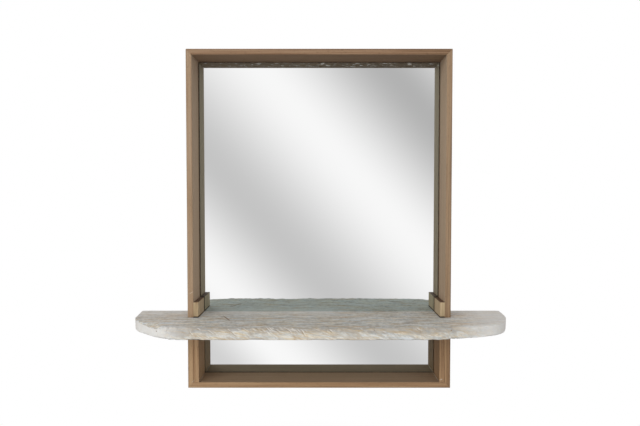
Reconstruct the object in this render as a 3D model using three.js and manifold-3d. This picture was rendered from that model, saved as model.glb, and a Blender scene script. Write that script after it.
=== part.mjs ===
// Wall mirror in a deep mitred box frame, with a hewn board shelf that slides in over the stiles.
// Millimetres, +Z up, +X to the right, +Y towards the wall. The origin is the middle of the back
// panel's rear face.
import * as THREE from "three";
import { mergeVertices } from "three/addons/utils/BufferGeometryUtils.js";
import Module from "manifold-3d";

const wasm = await Module();
wasm.setup();

// Frame boards
const frameWidth = 700;
const frameHeight = 898;
const frameDepth = 98; // front edge to the back panel's rear face
const boardThickness = 15;
const boardEase = 0.8; // chamfer along the boards' long edges
const mitreGap = 0.3; // glue line of each mitre

// Glass and back panel
const paneThickness = 4;
const paneMargin = 3; // open line between the glass and the boards
const paneArris = 0.8;
const panelThickness = 5;
const panelInset = 2; // back panel's edge behind the frame's outside
const glueGap = 0.3; // every glued face

// Shelf board
const shelfTopHeight = 189.5; // above the frame's bottom
const shelfThickness = 29;
const shelfProjection = 141; // in front of the frame
const shelfOverhangLeft = 148; // past the frame's side, at the back edge
const shelfOverhangRight = 155.5;
const slotPlay = 1; // round each stile
const restPlay = 0.3; // over the support blocks
const shelfPaneGap = 0.8;
const shelfWallGap = 0.5; // wings' back edge in front of the panel's rear face
const lowerArris = 6; // height of the undercut along the hewn edge
const hewnStep = 11; // spacing of the hewn edge's facets

// Cleats above the shelf and support blocks below it
const cleatThickness = 13;
const cleatHeight = 38.5;
const cleatPlay = 2; // over the shelf
const blockThickness = 13.5;
const blockEase = 0.6;
const endGap = 5; // between the cleats' and blocks' rear ends and the glass

// Joining biscuits, two in each mitre, each in the middle of its half of the board's depth
const biscuitLength = 33;
const biscuitWidth = 12;
const biscuitThickness = 4;
const biscuitHeelShift = 1.1; // towards the inside of the corner
const fitGap = 0.3; // round biscuits and screws in their holes

// Screws
const screwRadius = 1.75;
const panelScrewLength = 21;
const panelScrewHead = 3.6;
const strapScrewLength = 25;
const strapScrewHead = 3.1;
const strapScrewHeadHeight = 1.6;
const screwsPerStile = 3;
const screwsPerRail = 2;
const screwCornerMargin = 90;

// Hangers: a strap with a curl at its top, and the ring that swings in it
const strapWidth = 14;
const strapLength = 36;
const strapThickness = 1.2;
const strapDrop = 130; // ring's axis below the frame's top
const wireRadius = 1.2;
const wireGap = 0.3;
const ringSidePlay = 0.8; // between the strap and each leg of the ring
const ringHeight = 19; // axis to the middle of the wire at the ring's bottom
const upperStrapScrew = 7; // below the ring's axis
const lowerStrapScrew = 28;

// Rubber bumpers at the bottom corners
const bumperRadius = 7;
const bumperHeight = 5.5;
const bumperDome = 1.2; // rounding of the bumper's face
const bumperMargin = 18; // bumper's middle to the panel's edges

const halfWidth = frameWidth / 2;
const halfHeight = frameHeight / 2;
const frameFront = -frameDepth;
const boardBack = -panelThickness - glueGap;
const boardDepth = boardBack - frameFront;
const boardMiddle = boardThickness / 2;
const innerHalfWidth = halfWidth - boardThickness;
const innerHalfHeight = halfHeight - boardThickness;
const paneFront = boardBack - paneThickness;
const shelfTop = shelfTopHeight - halfHeight;
const shelfBottom = shelfTop - shelfThickness;
const sides = [["left", -1], ["right", 1]];

const frameWood = new THREE.MeshStandardMaterial({ color: 0x8e7358, roughness: 0.6 });
const cleatWood = new THREE.MeshStandardMaterial({ color: 0xa08a68, roughness: 0.65 });
const limedWood = new THREE.MeshStandardMaterial({ color: 0xc4bcae, roughness: 0.8 });
const silveredGlass = new THREE.MeshStandardMaterial({ color: 0xe4e8e6, roughness: 0.03, metalness: 1 });
const darkBoard = new THREE.MeshStandardMaterial({ color: 0x2e2722, roughness: 0.85 });
const beech = new THREE.MeshStandardMaterial({ color: 0xc9a87c, roughness: 0.7 });
const zincSteel = new THREE.MeshStandardMaterial({ color: 0xb4b6b4, roughness: 0.35, metalness: 1 });
const rubber = new THREE.MeshStandardMaterial({ color: 0x26241f, roughness: 0.9 });

const mirrorWithShelf = new THREE.Group();

function addPiece(name, geometry, material) {
  const piece = new THREE.Mesh(geometry, material);
  piece.name = name;
  mirrorWithShelf.add(piece);
  return piece;
}

// A closed geometry as a solid that can be cut, and back again
function solidOf(geometry) {
  const bare = geometry.clone();
  bare.deleteAttribute("normal");
  bare.deleteAttribute("uv");
  const merged = mergeVertices(bare, 1e-4);
  return new wasm.Manifold(new wasm.Mesh({
    numProp: 3,
    vertProperties: new Float32Array(merged.attributes.position.array),
    triVerts: new Uint32Array(merged.index.array),
  }));
}

function geometryOf(solid) {
  const { vertProperties, triVerts } = solid.getMesh();
  const geometry = new THREE.BufferGeometry();
  geometry.setAttribute("position", new THREE.BufferAttribute(vertProperties, 3));
  geometry.setIndex(new THREE.BufferAttribute(triVerts, 1));
  return geometry;
}

function cutAway(geometry, tools) {
  let solid = solidOf(geometry);
  for (const tool of tools) solid = solid.subtract(solidOf(tool));
  return geometryOf(solid);
}

function chamferedRectangle(x0, y0, x1, y1, ease) {
  const corners = [
    [x0 + ease, y0], [x1 - ease, y0], [x1, y0 + ease], [x1, y1 - ease],
    [x1 - ease, y1], [x0 + ease, y1], [x0, y1 - ease], [x0, y0 + ease],
  ];
  return new THREE.Shape(corners.map(([x, y]) => new THREE.Vector2(x, y)));
}

// Box between its lowest and highest corner, with all its edges chamfered
function easedBox([x0, y0, z0], [x1, y1, z1], ease) {
  const outline = chamferedRectangle(x0, z0, x1, z1, ease);
  const box = new THREE.ExtrudeGeometry(outline, {
    depth: y1 - y0 - 2 * ease, bevelThickness: ease, bevelSize: ease, bevelOffset: -ease, bevelSegments: 1,
  });
  box.rotateX(Math.PI / 2);
  box.translate(0, y1 - ease, 0);
  return box;
}

// Turns an extrusion so that it runs along +X, its outline's x towards the wall and its y up
function layAlongX(geometry) {
  return geometry.rotateX(Math.PI / 2).rotateZ(Math.PI / 2);
}

// Turned solid round an axis along Y, from [radius, y] pairs that start and end on the axis
function turned(profile, segments = 20) {
  const points = profile.map(([radius, y]) => new THREE.Vector2(radius, y));
  return new THREE.LatheGeometry(points, segments);
}

// ---- Joining biscuits ----

// Lens-shaped plate with blunt tips, its length along Y and its thickness along Z
function biscuitPlate(gap) {
  const halfLength = biscuitLength / 2 + gap;
  const bluntTip = biscuitWidth / 6;
  const bulge = biscuitWidth / 2 + gap - bluntTip;
  const arcSteps = 10;
  const outline = [];
  for (const side of [1, -1]) {
    for (let step = 0; step <= arcSteps; step++) {
      const along = side * (1 - 2 * step / arcSteps);
      outline.push(new THREE.Vector2(side * (bluntTip + bulge * (1 - along ** 2)), -along * halfLength));
    }
  }
  const thickness = biscuitThickness + 2 * gap;
  const plate = new THREE.ExtrudeGeometry(new THREE.Shape(outline), { depth: thickness, bevelEnabled: false });
  plate.translate(0, 0, -thickness / 2);
  return plate;
}

const biscuitHeel = boardMiddle + biscuitHeelShift; // biscuit's middle to the corner's two outer faces
const biscuitDepths = [
  ["front", frameFront + boardDepth / 4],
  ["rear", boardBack - boardDepth / 4],
];

for (const [level, up] of [["bottom", 1], ["top", -1]]) {
  for (const [side, sign] of sides) {
    for (const [place, depth] of biscuitDepths) {
      const biscuit = addPiece(`${level}_${side}_${place}_biscuit`, biscuitPlate(0), beech);
      biscuit.rotation.y = -sign * up * Math.PI / 4;
      biscuit.position.set(sign * (halfWidth - biscuitHeel), depth, up * (biscuitHeel - halfHeight));
    }
  }
}

// ---- Frame boards ----

// Wedge that takes off a board's end at 45 degrees
function mitreCutter(end, length) {
  const overrun = 5;
  const start = end * (length - mitreGap) / 2;
  const reach = boardThickness + overrun;
  const wedge = new THREE.Shape([
    new THREE.Vector2(start + end * overrun, -overrun),
    new THREE.Vector2(start - end * reach, reach),
    new THREE.Vector2(start + end * reach, reach),
    new THREE.Vector2(start + end * reach, -overrun),
  ]);
  const cutter = new THREE.ExtrudeGeometry(wedge, { depth: boardDepth + 2 * overrun, bevelEnabled: false });
  cutter.rotateX(Math.PI / 2);
  cutter.translate(0, boardBack + overrun, 0);
  return cutter;
}

// Board laid along X with its inner face up: planed profile, mitred ends, biscuit slots, and screw
// holes in its back edge, each [place along the board, reach from the panel's rear face]
function frameBoard(length, holes) {
  const profile = chamferedRectangle(0, 0, boardDepth, boardThickness, boardEase);
  const board = new THREE.ExtrudeGeometry(profile, { depth: length, bevelEnabled: false });
  layAlongX(board);
  board.translate(-length / 2, frameFront, 0);
  const cutters = [];
  for (const end of [-1, 1]) {
    cutters.push(mitreCutter(end, length));
    for (const [, depth] of biscuitDepths) {
      const slot = biscuitPlate(fitGap);
      slot.rotateY(-end * Math.PI / 4);
      slot.translate(end * (length / 2 - biscuitHeel), depth, biscuitHeel);
      cutters.push(slot);
    }
  }
  for (const [along, reach] of holes) {
    const hole = screwHole(reach + fitGap);
    hole.translate(along, 0, boardMiddle);
    cutters.push(hole);
  }
  return cutAway(board, cutters);
}

function screwHole(depth) {
  const radius = screwRadius + fitGap;
  return turned([[0, -depth], [radius, -depth], [radius, 1], [0, 1]]);
}

function spacedAlong(length, count) {
  const run = length - 2 * screwCornerMargin;
  return Array.from({ length: count }, (_, index) => run * (index / (count - 1) - 0.5));
}

const railScrews = spacedAlong(frameWidth, screwsPerRail);
const stileScrews = spacedAlong(frameHeight, screwsPerStile);
const ringAxisHeight = halfHeight - strapDrop;
const strapScrews = [
  ["upper", ringAxisHeight - upperStrapScrew],
  ["lower", ringAxisHeight - lowerStrapScrew],
];

const railHoles = railScrews.map((along) => [along, panelScrewLength]);
const bottomRail = addPiece("bottom_rail", frameBoard(frameWidth, railHoles), frameWood);
bottomRail.position.z = -halfHeight;
const topRail = addPiece("top_rail", frameBoard(frameWidth, railHoles), frameWood);
topRail.rotation.y = Math.PI;
topRail.position.z = halfHeight;

for (const [side, sign] of sides) {
  // Turned on its side, the left board runs downwards and the right one upwards
  const holes = [
    ...stileScrews.map((height) => [sign * height, panelScrewLength]),
    ...strapScrews.map(([, height]) => [sign * height, strapScrewLength - strapThickness]),
  ];
  const stile = addPiece(`${side}_stile`, frameBoard(frameHeight, holes), frameWood);
  stile.rotation.y = -sign * Math.PI / 2;
  stile.position.x = sign * halfWidth;
}

// ---- Glass, back panel and its screws ----

const paneHalfWidth = innerHalfWidth - paneMargin;
const paneHalfHeight = innerHalfHeight - paneMargin;
const pane = easedBox(
  [-paneHalfWidth, paneFront, -paneHalfHeight], [paneHalfWidth, boardBack, paneHalfHeight], paneArris);
addPiece("mirror_pane", pane, silveredGlass);

const headDepth = panelScrewHead - screwRadius; // a 90 degree countersink is as deep as it is wide

function panelScrew() {
  const tipLength = 2 * screwRadius;
  return turned([
    [0, -panelScrewLength], [screwRadius, tipLength - panelScrewLength], [screwRadius, -headDepth],
    [panelScrewHead, 0], [0, 0],
  ]);
}

function countersunkHole() {
  const top = 1;
  const radius = screwRadius + fitGap;
  return turned([
    [0, -panelThickness - top], [radius, -panelThickness - top], [radius, -headDepth],
    [panelScrewHead + fitGap, 0], [panelScrewHead + fitGap, top], [0, top],
  ]);
}

const panelScrewPlaces = [];
for (const [level, up] of [["bottom", -1], ["top", 1]]) {
  railScrews.forEach((along, index) => {
    panelScrewPlaces.push([`${level}_panel_screw_${index + 1}`, along, up * (halfHeight - boardMiddle)]);
  });
}
for (const [side, sign] of sides) {
  stileScrews.forEach((height, index) => {
    panelScrewPlaces.push([`${side}_panel_screw_${index + 1}`, sign * (halfWidth - boardMiddle), height]);
  });
}

const panelHoles = [];
for (const [name, x, z] of panelScrewPlaces) {
  const screw = addPiece(name, panelScrew(), zincSteel);
  screw.position.set(x, 0, z);
  panelHoles.push(countersunkHole().translate(x, 0, z));
}
for (const [, sign] of sides) {
  for (const [, height] of strapScrews) {
    panelHoles.push(screwHole(panelThickness + 1).translate(sign * (halfWidth - boardMiddle), 0, height));
  }
}
const panelHalfWidth = halfWidth - panelInset;
const panelHalfHeight = halfHeight - panelInset;
const panel = new THREE.BoxGeometry(2 * panelHalfWidth, panelThickness, 2 * panelHalfHeight);
panel.translate(0, -panelThickness / 2, 0);
addPiece("backing_panel", cutAway(panel, panelHoles), darkBoard);

// ---- Shelf ----

// The hewn edge runs from the right back corner round the front to the left back corner. Each corner is
// a few points, [in from that end, back from the front line].
const rightCorner = [[5, 190], [10, 148], [18, 118], [33, 82], [60, 53], [104, 31], [180, 11], [214, 0]];
const leftCorner = [[158, 0], [132, 4], [103, 20], [70, 50], [48, 74], [29, 97], [16, 122], [10.5, 138]];

// Wear of the top arris: [x, how far the top face stops short, how far the edge has dropped]
const arrisWear = [
  [-492, 3, 3], [-458, 3, 3], [-425, 13, 4], [-398, 4, 3], [-372, 14, 8], [-350, 19, 12], [-325, 15, 11],
  [-289, 8, 3], [-240, 3, 2], [-194, 3, 2], [-97, 18, 5], [-47, 5, 3], [25, 4, 2], [98, 4, 3],
  [194, 8, 5], [265, 12, 8], [315, 10, 7], [400, 5, 3], [445, 3, 2], [500, 2, 2],
];

function arrisAt(x) {
  const last = arrisWear.length - 1;
  const next = arrisWear.findIndex(([place]) => place > x);
  if (next === 0) return arrisWear[0];
  if (next < 0) return arrisWear[last];
  const [before, after] = [arrisWear[next - 1], arrisWear[next]];
  const share = THREE.MathUtils.smoothstep(x, before[0], after[0]);
  return before.map((value, index) => THREE.MathUtils.lerp(value, after[index], share));
}

const shelfLeft = -halfWidth - shelfOverhangLeft;
const shelfRight = halfWidth + shelfOverhangRight;
const shelfFront = frameFront - shelfProjection;
const shelfBack = -shelfWallGap;

function hewnEdge() {
  const path = new THREE.Path();
  path.moveTo(shelfRight, shelfBack);
  path.splineThru(rightCorner.map(([inward, back]) => new THREE.Vector2(shelfRight - inward, shelfFront + back)));
  path.lineTo(shelfLeft + leftCorner[0][0], shelfFront);
  path.splineThru(leftCorner.slice(1).map(([inward, back]) => (
    new THREE.Vector2(shelfLeft + inward, shelfFront + back))));
  path.lineTo(shelfLeft, shelfBack);
  return path.getSpacedPoints(Math.round(path.getLength() / hewnStep));
}

// Back edge from left to right, round the two slots and the tongue between them
function slottedBackEdge() {
  const slotOuter = halfWidth + slotPlay;
  const slotInner = innerHalfWidth - slotPlay;
  const slotFront = frameFront - slotPlay;
  const tongueBack = paneFront - shelfPaneGap;
  return [
    [-slotOuter, shelfBack], [-slotOuter, slotFront], [-slotInner, slotFront], [-slotInner, tongueBack],
    [slotInner, tongueBack], [slotInner, slotFront], [slotOuter, slotFront], [slotOuter, shelfBack],
  ].map(([x, y]) => new THREE.Vector2(x, y));
}

// The board is a skin over stacked outlines. Each ring gives, for a place on the hewn edge, how far it
// lies inside the plan outline and how high it is.
function shelfBoard() {
  const hewn = hewnEdge();
  const plain = slottedBackEdge();
  const outline = [...hewn, ...plain];
  const count = outline.length;
  const ripple = (index, phase) => Math.sin(index * 1.9 + phase) + 0.6 * Math.sin(index * 0.83 + 2 * phase);
  const rings = [
    (index, [, inset]) => [inset + 0.4 * ripple(index, 1), shelfTop],
    (index, [, , drop]) => [0.4 + 0.3 * ripple(index, 0), shelfTop - drop],
    (index) => [1 + 0.6 * ripple(index, 2), shelfBottom + lowerArris],
    (index) => [3 + 1.2 * ripple(index, 4), shelfBottom],
  ];
  const positions = [];
  const caps = [];
  rings.forEach((ring) => {
    const flat = outline.map((point, index) => {
      const last = hewn.length - 1;
      const onHewn = index <= last;
      const fade = onHewn ? Math.min(1, index / 3, (last - index) / 3) : 0;
      const [inset, height] = ring(index, arrisAt(point.x));
      const tangent = outline[(index + 1) % count].clone().sub(outline[(index + count - 1) % count]);
      const inward = new THREE.Vector2(tangent.y, -tangent.x).normalize();
      const place = point.clone().addScaledVector(inward, inset * fade);
      positions.push(place.x, place.y, height);
      return place;
    });
    caps.push(THREE.ShapeUtils.triangulateShape(flat, []));
  });
  const indices = [];
  const [topCap, bottomCap] = [caps[0], caps[caps.length - 1]];
  const bottomStart = (rings.length - 1) * count;
  for (const [a, b, c] of topCap) indices.push(a, b, c);
  for (const [a, b, c] of bottomCap) indices.push(bottomStart + c, bottomStart + b, bottomStart + a);
  for (let ring = 0; ring + 1 < rings.length; ring++) {
    for (let index = 0; index < count; index++) {
      const a = ring * count + index;
      const b = ring * count + (index + 1) % count;
      indices.push(a, b, a + count, b, b + count, a + count);
    }
  }
  const board = new THREE.BufferGeometry();
  board.setAttribute("position", new THREE.Float32BufferAttribute(positions, 3));
  board.setIndex(indices);
  return board;
}

addPiece("shelf", shelfBoard(), limedWood);

// ---- Cleats and support blocks ----

for (const [side, sign] of sides) {
  const outer = innerHalfWidth - glueGap;
  const rear = paneFront - endGap;
  const box = (thickness, bottom, top) => {
    const near = sign * outer;
    const far = sign * (outer - thickness);
    return easedBox([Math.min(near, far), frameFront, bottom], [Math.max(near, far), rear, top], blockEase);
  };
  const cleatBottom = shelfTop + cleatPlay;
  addPiece(`${side}_cleat`, box(cleatThickness, cleatBottom, cleatBottom + cleatHeight), cleatWood);
  const blockBottom = glueGap - innerHalfHeight;
  addPiece(`${side}_support_block`, box(blockThickness, blockBottom, shelfBottom - restPlay), frameWood);
}

// ---- Hangers ----

const curlRadius = wireRadius + wireGap + strapThickness;

// Strip bent into a curl round the ring's bar, as wide as the strap, less its screw holes. Its place is
// counted from the ring's axis in height and from the panel in depth.
function hangerStrap() {
  const curlEnd = -75 * Math.PI / 180;
  const strip = new THREE.Shape();
  strip.moveTo(0, -strapLength);
  strip.lineTo(strapThickness, -strapLength);
  strip.lineTo(strapThickness, 0);
  strip.absarc(curlRadius, 0, wireRadius + wireGap, Math.PI, curlEnd, true);
  strip.absarc(curlRadius, 0, curlRadius, curlEnd, Math.PI, false);
  strip.lineTo(0, -strapLength);
  const strap = layAlongX(new THREE.ExtrudeGeometry(strip, { depth: strapWidth, bevelEnabled: false }));
  strap.translate(-strapWidth / 2, 0, 0);
  const holes = [upperStrapScrew, lowerStrapScrew].map((drop) => (
    screwHole(2 * strapThickness).translate(0, strapThickness, -drop)));
  return cutAway(strap, holes);
}

// D-shaped wire ring round its own axis: a straight bar, two legs and a half circle
function hangerRing() {
  const half = strapWidth / 2 + ringSidePlay + wireRadius;
  const bend = 2 * wireRadius;
  const wire = new THREE.Path();
  wire.moveTo(0, 0);
  wire.absarc(half - bend, -bend, bend, Math.PI / 2, 0, true);
  wire.absarc(0, half - ringHeight, half, 0, -Math.PI, true);
  wire.absarc(bend - half, -bend, bend, Math.PI, Math.PI / 2, true);
  wire.lineTo(0, 0);
  const points = wire.getSpacedPoints(44).slice(1);
  const curve = new THREE.CatmullRomCurve3(points.map(({ x, y }) => new THREE.Vector3(x, 0, y)), true);
  return new THREE.TubeGeometry(curve, 56, wireRadius, 8, true);
}

function strapScrew() {
  const tip = 2 * screwRadius - strapScrewLength;
  const domeRadius = strapScrewHead * 0.55;
  return turned([
    [0, -strapScrewLength], [screwRadius, tip], [screwRadius, 0], [strapScrewHead, 0],
    [strapScrewHead, strapScrewHeadHeight / 2], [domeRadius, strapScrewHeadHeight], [0, strapScrewHeadHeight],
  ]);
}

for (const [side, sign] of sides) {
  const x = sign * (halfWidth - boardMiddle);
  const strap = addPiece(`${side}_hanger_strap`, hangerStrap(), zincSteel);
  strap.position.set(x, glueGap, ringAxisHeight);
  const ring = addPiece(`${side}_hanger_ring`, hangerRing(), zincSteel);
  ring.position.set(x, glueGap + curlRadius, ringAxisHeight);
  for (const [place, height] of strapScrews) {
    const screw = addPiece(`${side}_${place}_strap_screw`, strapScrew(), zincSteel);
    screw.position.set(x, 2 * glueGap + strapThickness, height);
  }
}

// ---- Rubber bumpers ----

function bumper() {
  const shoulder = bumperHeight - glueGap - bumperDome;
  return turned([
    [0, 0], [bumperRadius, 0], [bumperRadius - bumperDome / 2, shoulder],
    [bumperRadius - 1.5 * bumperDome, shoulder + bumperDome], [0, shoulder + bumperDome],
  ]);
}

for (const [side, sign] of sides) {
  const piece = addPiece(`${side}_bumper`, bumper(), rubber);
  piece.position.set(sign * (panelHalfWidth - bumperMargin), glueGap, bumperMargin - panelHalfHeight);
}

export default mirrorWithShelf;
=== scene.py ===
import math

import bmesh
import bpy
import numpy as np
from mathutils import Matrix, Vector
from mathutils.geometry import tessellate_polygon


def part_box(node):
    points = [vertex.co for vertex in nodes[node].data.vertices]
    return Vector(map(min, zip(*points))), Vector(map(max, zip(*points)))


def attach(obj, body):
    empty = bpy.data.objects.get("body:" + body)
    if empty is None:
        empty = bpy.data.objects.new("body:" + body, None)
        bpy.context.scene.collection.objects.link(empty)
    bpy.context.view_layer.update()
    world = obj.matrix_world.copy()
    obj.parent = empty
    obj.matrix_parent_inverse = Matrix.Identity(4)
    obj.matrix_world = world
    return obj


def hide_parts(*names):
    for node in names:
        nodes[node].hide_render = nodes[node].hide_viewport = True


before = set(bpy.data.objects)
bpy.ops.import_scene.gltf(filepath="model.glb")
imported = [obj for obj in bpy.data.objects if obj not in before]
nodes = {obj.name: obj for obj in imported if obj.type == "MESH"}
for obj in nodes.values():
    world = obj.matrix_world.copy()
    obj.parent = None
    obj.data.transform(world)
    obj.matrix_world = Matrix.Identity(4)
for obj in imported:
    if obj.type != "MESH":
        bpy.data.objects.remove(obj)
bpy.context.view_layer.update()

scene = bpy.context.scene
scene.view_settings.view_transform = "Standard"
mm = 0.001


def linear(hexColour):
    channels = [int(hexColour[at:at + 2], 16) / 255 for at in (1, 3, 5)]
    return (*[c / 12.92 if c <= 0.04045 else ((c + 0.055) / 1.055) ** 2.4 for c in channels], 1.0)


# Sets a node's inputs, by name or number, to values or to links from other nodes
def feed(tree, node, inputs):
    for name, value in inputs.items():
        if isinstance(value, bpy.types.Node):
            value = value.outputs[0]
        if isinstance(value, bpy.types.NodeSocket):
            tree.links.new(value, node.inputs[name])
        else:
            node.inputs[name].default_value = linear(value) if isinstance(value, str) else value


# Adds a node with its settings and inputs. A ramp's stops are (place, colour or grey level) pairs.
def add(tree, kind, inputs=None, stops=None, **settings):
    node = tree.nodes.new(kind)
    for name, value in settings.items():
        setattr(node, name, value)
    for index, (place, colour) in enumerate(stops or []):
        elements = node.color_ramp.elements
        if index == 0:
            elements.remove(elements[1])
            elements[0].position = place
        stop = elements[0] if index == 0 else elements.new(place)
        stop.color = linear(colour) if isinstance(colour, str) else (colour, colour, colour, 1)
    feed(tree, node, inputs or {})
    return node


# Lays tints over a colour, each [the value it follows, where it starts, where it is full, its most, tint]
def layered(tree, colour, layers, blendType="MIX"):
    for value, start, full, most, tint in layers:
        amount = add(tree, "ShaderNodeMapRange", {
            "Value": value, "From Min": start, "From Max": full, "To Max": most})
        colour = add(tree, "ShaderNodeMix", {0: amount, 6: colour, 7: tint},
                     data_type="RGBA", blend_type=blendType).outputs[2]
    return colour


# Lays a tint over a colour inside soft ovals, each [middle, turns, half sizes in millimetres]
def dabbed(tree, spot, colour, ovals, most, tint):
    for middle, turns, halfSizes in ovals:
        mapped = add(tree, "ShaderNodeMapping", {
            "Vector": spot, "Location": middle, "Rotation": turns,
            "Scale": tuple(size * mm for size in halfSizes)}, vector_type="TEXTURE")
        distance = add(tree, "ShaderNodeVectorMath", {0: mapped}, operation="LENGTH").outputs["Value"]
        colour = layered(tree, colour, [(distance, 1.0, 0.5, most, tint)])
    return colour


# An empty material, its tree and the place on the piece that its patterns follow
def newMaterial(name):
    material = bpy.data.materials.new(name)
    material.use_nodes = True
    tree = material.node_tree
    tree.nodes.clear()
    return material, tree, add(tree, "ShaderNodeTexCoord").outputs["Object"]


def dress(names, material):
    for name in names:
        node = nodes[name]
        node.data.materials.clear()
        node.data.materials.append(material)


def meshObject(name, vertices, faces, edges=()):
    mesh = bpy.data.meshes.new(name)
    mesh.from_pydata(vertices, edges, faces)
    mesh.update()
    piece = bpy.data.objects.new(name, mesh)
    scene.collection.objects.link(piece)
    return piece


# Camera, a little above the shelf and looking slightly down
view = {"place": (0.0022, -1.755, 0.0684), "pitchDown": 0.038, "rise": 0.0078, "lens": 35.26, "sensor": 36}

cameraData = bpy.data.cameras.new("photoCamera")
cameraData.sensor_fit = "HORIZONTAL"
cameraData.sensor_width = view["sensor"]
cameraData.lens = view["lens"]
cameraData.shift_y = view["rise"]
cameraData.clip_start = 0.02
camera = bpy.data.objects.new("photoCamera", cameraData)
camera.location = view["place"]
camera.rotation_euler = (math.pi / 2 - view["pitchDown"], 0, 0)
scene.collection.objects.link(camera)
scene.camera = camera
print("camera ready")

# Room: level light, white surroundings, and soft grey bands for the glass to show
room = {
    "level": 0.44, "overhead": 0.70,  # soft light on matt faces, from the sides and from straight above
    # glossy faces see a dimmer floor: how dim, below which slope of sight, and over how much of it
    "below": 0.3, "belowSlope": -0.32, "belowFade": 0.25,
    "glassTint": (0.60, 0.69, 0.69),  # what silvered glass keeps of red, green and blue
    "bands": [(0.0, "#CDCDCD"), (0.13, "#D0D0D0"), (0.24, "#F8F8F8"), (0.413, "#C4C4C4"),
              (0.628, "#F7F7F7"), (0.833, "#B2B2B2"), (0.97, "#E2E2E2")],
    "bandAcross": (1.0145, 0.0, 0.906),  # the bands lie square to this
    "bandStart": 0.5424,
}
lamps = {
    "frontSoftbox": {"place": (-3.3, -5.0, 1.3), "size": 4.0, "watts": 158},
    "leftFill": {"place": (-4.6, -2.2, 0.5), "size": 2.4, "watts": 16},
    "sideFill": {"place": (4.2, -3.8, 0.4), "size": 3.2, "watts": 42},
    "lowFill": {"place": (0.1, -4.4, -0.9), "size": 1.6, "watts": 36},
}
lampAim = Vector((0, -0.1, -0.05))  # a little in front of the frame's middle
ground = {
    "height": -1.25, "size": 14,
    "clear": 0.9, "white": 1.9,  # the paper shows up to the first distance, and plain white from the second
    "paper": "#F7F7F5", "thrown": "#A3A3A1",  # as the camera sees it, and as it throws light back
}

world = bpy.data.worlds.new("whiteRoom")
scene.world = world
world.use_nodes = True
tree = world.node_tree
tree.nodes.clear()
direction = add(tree, "ShaderNodeTexCoord").outputs["Generated"]
across = add(tree, "ShaderNodeVectorMath", {0: direction, 1: room["bandAcross"]}, operation="DOT_PRODUCT")
parts = add(tree, "ShaderNodeSeparateXYZ", {0: direction})
forward = add(tree, "ShaderNodeMath", {0: parts.outputs["Y"]}, operation="ABSOLUTE")
slope = add(tree, "ShaderNodeMath", {0: across.outputs["Value"], 1: forward}, operation="DIVIDE")
place = add(tree, "ShaderNodeMath", {0: slope, 1: room["bandStart"]}, operation="ADD")
bands = add(tree, "ShaderNodeValToRGB", {0: place}, stops=room["bands"])
bands.color_ramp.interpolation = "EASE"
rise = add(tree, "ShaderNodeMath", {0: parts.outputs["Z"], 1: forward}, operation="DIVIDE")
dimmed = add(tree, "ShaderNodeMapRange", {
    "Value": rise, "From Min": room["belowSlope"] - room["belowFade"], "From Max": room["belowSlope"],
    "To Min": room["below"], "To Max": 1.0})
shown = add(tree, "ShaderNodeVectorMath", {0: bands, "Scale": dimmed}, operation="SCALE")
untinted = add(tree, "ShaderNodeVectorMath", {0: shown, 1: tuple(1 / part for part in room["glassTint"])},
               operation="MULTIPLY")
light = add(tree, "ShaderNodeLightPath").outputs
seen = add(tree, "ShaderNodeMath", {0: light["Is Camera Ray"], 1: light["Is Transmission Ray"]},
           operation="MAXIMUM")
strength = add(tree, "ShaderNodeMapRange", {
    "Value": parts.outputs["Z"], "From Min": 0.0, "From Max": 1.0,
    "To Min": room["level"], "To Max": room["overhead"]})
level = add(tree, "ShaderNodeBackground", {"Color": (1, 1, 1, 1), "Strength": strength})
mirrored = add(tree, "ShaderNodeBackground", {"Color": untinted, "Strength": 1.0})
white = add(tree, "ShaderNodeBackground", {"Color": (1, 1, 1, 1), "Strength": 1.0})
offObject = add(tree, "ShaderNodeMixShader", {0: light["Is Glossy Ray"], 1: level, 2: mirrored})
behind = add(tree, "ShaderNodeMixShader", {0: seen, 1: offObject, 2: white})
add(tree, "ShaderNodeOutputWorld", {"Surface": behind})

for name, lamp in lamps.items():
    lampData = bpy.data.lights.new(name, "AREA")
    lampData.size = lamp["size"]
    lampData.energy = lamp["watts"]
    fixture = bpy.data.objects.new(name, lampData)
    fixture.location = lamp["place"]
    aimed = (lampAim - Vector(lamp["place"])).to_track_quat("-Z", "Y")
    fixture.rotation_euler = aimed.to_euler()
    fixture.visible_camera = fixture.visible_glossy = False  # the glass shows only the white room
    scene.collection.objects.link(fixture)

# Pale paper floor: a matt white that keeps the soft shadow and runs out into the white room
half = ground["size"] / 2
corners = [(-half, -half), (half, -half), (half, half), (-half, half)]
floor = meshObject("paperFloor", [(x, y, ground["height"]) for x, y in corners], [(0, 1, 2, 3)])
floor.visible_glossy = False
material, tree, spot = newMaterial("paper")
flat = add(tree, "ShaderNodeVectorMath", {0: spot, 1: (1, 1, 0)}, operation="MULTIPLY")
distance = add(tree, "ShaderNodeVectorMath", {0: flat}, operation="LENGTH")
fade = add(tree, "ShaderNodeMapRange", {
    "Value": distance.outputs["Value"], "From Min": ground["clear"], "From Max": ground["white"],
}, interpolation_type="SMOOTHSTEP")
direct = add(tree, "ShaderNodeLightPath").outputs["Is Camera Ray"]
sheet = add(tree, "ShaderNodeMix", {0: direct, 6: ground["thrown"], 7: ground["paper"]}, data_type="RGBA")
paper = add(tree, "ShaderNodeBsdfDiffuse", {"Color": sheet.outputs[2]})
glow = add(tree, "ShaderNodeEmission", {"Color": (1, 1, 1, 1), "Strength": 1.0})
toWhite = add(tree, "ShaderNodeMath", {0: fade, 1: direct}, operation="MULTIPLY")
surface = add(tree, "ShaderNodeMixShader", {0: toWhite, 1: paper, 2: glow})
add(tree, "ShaderNodeOutputMaterial", {"Surface": surface})
floor.data.materials.append(material)
print("room ready")

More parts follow.
